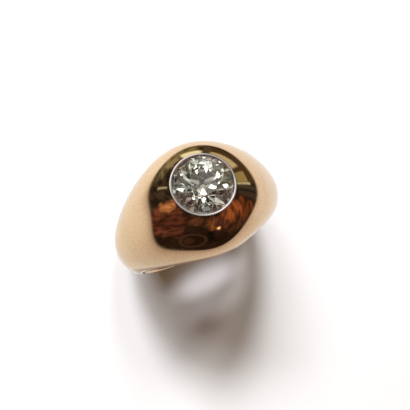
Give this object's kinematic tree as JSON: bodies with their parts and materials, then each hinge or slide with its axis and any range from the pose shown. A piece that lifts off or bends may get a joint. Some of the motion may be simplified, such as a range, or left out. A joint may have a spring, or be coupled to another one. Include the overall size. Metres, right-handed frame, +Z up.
{
  "type": "domed band ring with one round stone",
  "caption": "Finger ring with a wide domed head that narrows to a slim shank, and one round brilliant stone let into the top in a white metal setting.",
  "frame": {"origin": "on the table under the middle of the ring's box, as the ring lies on its side", "axes": "+Z up from the table; the stone faces -Y, the front, and the back of the shank is at +Y; +X runs across the ring. The finger hole's axis leans back from +Z by the taper of the ring's sides, 15.2 degrees"},
  "size_m": [0.0238, 0.0274, 0.0149],
  "materials": {
    "gold": "polished rose-yellow gold with fine wear scratches",
    "white_metal": "polished white metal",
    "clear_stone": "cut and polished, clear with a faint warm tint"
  },
  "bodies": {
    "root": {"band": "gold", "setting": "white_metal", "stone": "clear_stone"}
  },
  "joints": []
}
